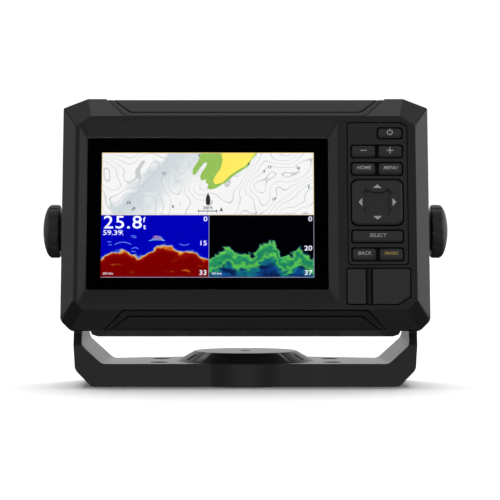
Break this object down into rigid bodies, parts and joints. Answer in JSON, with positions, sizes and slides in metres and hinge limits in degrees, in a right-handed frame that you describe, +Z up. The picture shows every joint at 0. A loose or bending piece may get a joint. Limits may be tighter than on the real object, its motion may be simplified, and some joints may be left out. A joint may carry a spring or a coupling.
{
  "type": "fish finder",
  "caption": "Marine fish finder: a wide screen with keypad and card door in a sloped bezel, tilting between the arms of a bail bracket that swivels on a round base.",
  "frame": {"origin": "centre of the swivel base's underside, on the swivel axis", "axes": "+X to the user's right along the screen's width, -Y towards the user, +Z up"},
  "size_m": [0.2096, 0.0804, 0.1473],
  "materials": {
    "casing": "fine spark-eroded moulded texture, satin black",
    "trim": "fine moulded texture, black",
    "bracket": "glass-filled moulding, fine grain, satin charcoal",
    "knob": "soft-touch grip moulding, black",
    "keys": "smooth satin caps with printed legends",
    "door": "semi-matt elastomer",
    "glass": "bonded cover glass with a printed black border",
    "display": "colour display, lit",
    "rubber": "moulded silicone",
    "steel": "stainless, turned and stamped",
    "brass": "turned, knurled",
    "board": "green solder mask",
    "nylon": "natural nylon",
    "ceramic": "fired ceramic patch"
  },
  "bodies": {
    "base": {"swivel_base": "bracket"},
    "bracket": {"bail_bracket": "bracket", "swivel_washer": "nylon", "swivel_screw": "steel"},
    "head": {"front_bezel": "casing", "top_trim": "trim", "bottom_trim": "trim", "rear_housing": "casing", "housing_gasket": "rubber", "housing_screw_top_left": "steel", "housing_screw_top_middle": "steel", "housing_screw_top_right": "steel", "housing_screw_bottom_left": "steel", "housing_screw_bottom_middle": "steel", "housing_screw_bottom_right": "steel", "lens_glass": "glass", "lens_gasket": "rubber", "lcd_panel": "display", "lcd_backlight": "nylon", "screen_bracket": "steel", "main_board": "board", "shield_can": "steel", "heat_spreader": "steel", "gps_antenna": "ceramic", "buzzer": "rubber", "sonar_board": "board", "keypad_panel": "trim", "keypad_membrane": "rubber", "key_board": "board", "card_door_anchor": "door", "card_door_hinge_strip": "rubber", "card_door_seal": "rubber", "card_socket": "nylon", "transducer_socket": "trim", "power_socket": "trim", "pressure_vent": "rubber", "threaded_insert_left": "brass", "threaded_insert_right": "brass", "pivot_washer_left": "rubber", "pivot_washer_right": "rubber"},
    "knob_left": {"knob_left": "knob", "knob_stud_left": "steel", "knob_washer_left": "steel"},
    "knob_right": {"knob_right": "knob", "knob_stud_right": "steel", "knob_washer_right": "steel"},
    "key_power": {"key_power": "keys"},
    "key_minus": {"key_minus": "keys"},
    "key_plus": {"key_plus": "keys"},
    "key_home": {"key_home": "keys"},
    "key_menu": {"key_menu": "keys"},
    "key_select": {"key_select": "keys"},
    "key_back": {"key_back": "keys"},
    "key_mark": {"key_mark": "keys"},
    "dpad_plunger": {"dpad_plunger": "nylon"},
    "dpad": {"dpad": "keys"},
    "card_door": {"card_door": "door"}
  },
  "joints": [
    {"name": "swivel", "type": "hinge", "parent": "base", "child": "bracket", "pos_m": [0, 0, 0], "axis": [0, 0, 1], "range_deg": [-45, 45]},
    {"name": "tilt", "type": "hinge", "parent": "bracket", "child": "head", "pos_m": [0, -0.005, 0.079], "axis": [-1, 0, 0], "range_deg": [-6, 60]},
    {"name": "knob_left_turn", "type": "hinge", "parent": "head", "child": "knob_left", "pos_m": [-0.1, -0.005, 0.079], "axis": [-1, 0, 0], "continuous": true},
    {"name": "knob_right_turn", "type": "hinge", "parent": "head", "child": "knob_right", "pos_m": [0.1, -0.005, 0.079], "axis": [1, 0, 0], "continuous": true},
    {"name": "press_power", "type": "slide", "parent": "head", "child": "key_power", "axis": [0, 0.9799, -0.1994], "range_m": [0, 0.0006], "stiffness_N_per_m": 800},
    {"name": "press_minus", "type": "slide", "parent": "head", "child": "key_minus", "axis": [0, 0.9799, -0.1994], "range_m": [0, 0.0006], "stiffness_N_per_m": 800},
    {"name": "press_plus", "type": "slide", "parent": "head", "child": "key_plus", "axis": [0, 0.9799, -0.1994], "range_m": [0, 0.0006], "stiffness_N_per_m": 800},
    {"name": "press_home", "type": "slide", "parent": "head", "child": "key_home", "axis": [0, 0.9799, -0.1994], "range_m": [0, 0.0006], "stiffness_N_per_m": 800},
    {"name": "press_menu", "type": "slide", "parent": "head", "child": "key_menu", "axis": [0, 0.9799, -0.1994], "range_m": [0, 0.0006], "stiffness_N_per_m": 800},
    {"name": "press_select", "type": "slide", "parent": "head", "child": "key_select", "axis": [0, 0.9799, -0.1994], "range_m": [0, 0.0006], "stiffness_N_per_m": 800},
    {"name": "press_back", "type": "slide", "parent": "head", "child": "key_back", "axis": [0, 0.9799, -0.1994], "range_m": [0, 0.0006], "stiffness_N_per_m": 800},
    {"name": "press_mark", "type": "slide", "parent": "head", "child": "key_mark", "axis": [0, 0.9799, -0.1994], "range_m": [0, 0.0006], "stiffness_N_per_m": 800},
    {"name": "dpad_up_down", "type": "hinge", "parent": "head", "child": "dpad_plunger", "pos_m": [0.06695, -0.03092, 0.09305], "axis": [1, 0, 0], "range_deg": [-2.5, 2.5], "stiffness_Nm_per_rad": 0.05},
    {"name": "dpad_left_right", "type": "hinge", "parent": "dpad_plunger", "child": "dpad", "pos_m": [0.06695, -0.03092, 0.09305], "axis": [0, 0.1994, 0.9799], "range_deg": [-2.5, 2.5], "stiffness_Nm_per_rad": 0.05},
    {"name": "card_door_swing", "type": "hinge", "parent": "head", "child": "card_door", "pos_m": [0.0624, -0.04049, 0.05101], "axis": [0, -0.1994, -0.9799], "range_deg": [0, 100]}
  ]
}
